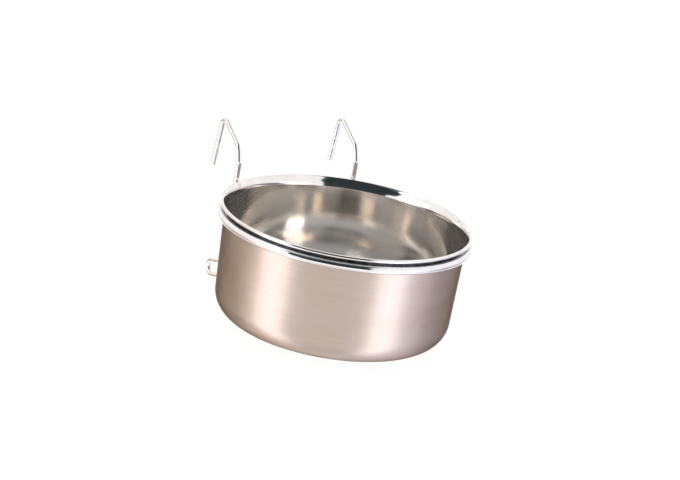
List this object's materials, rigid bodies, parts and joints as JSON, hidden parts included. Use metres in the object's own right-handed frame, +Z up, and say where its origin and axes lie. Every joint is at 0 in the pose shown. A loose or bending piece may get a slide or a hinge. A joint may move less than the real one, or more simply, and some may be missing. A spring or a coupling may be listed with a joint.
{
  "type": "hang-on feeding bowl",
  "caption": "Flared steel feeding bowl that lies in a wire ring with cage hooks and stand-off loops, and lifts out for cleaning.",
  "frame": {"origin": "centre of the bowl's flat underside", "axes": "+Z up the bowl's axis, +Y towards the cage that it hangs on, -Y the front, +X to the right seen from the front"},
  "size_m": [0.1229, 0.1405, 0.0797],
  "materials": {
    "bowl_steel": "satin outside, polished lip",
    "plated_wire": "bright chrome plate",
    "weld_metal": "chrome plate over weld metal"
  },
  "bodies": {
    "holder": {"support_ring": "plated_wire", "left_hook": "plated_wire", "right_hook": "plated_wire", "weld_beads": "weld_metal"},
    "bowl": {"bowl": "bowl_steel"}
  },
  "joints": [
    {"name": "bowl_lift", "type": "slide", "parent": "holder", "child": "bowl", "axis": [0, 0, 1], "range_m": [0, 0.06]}
  ]
}
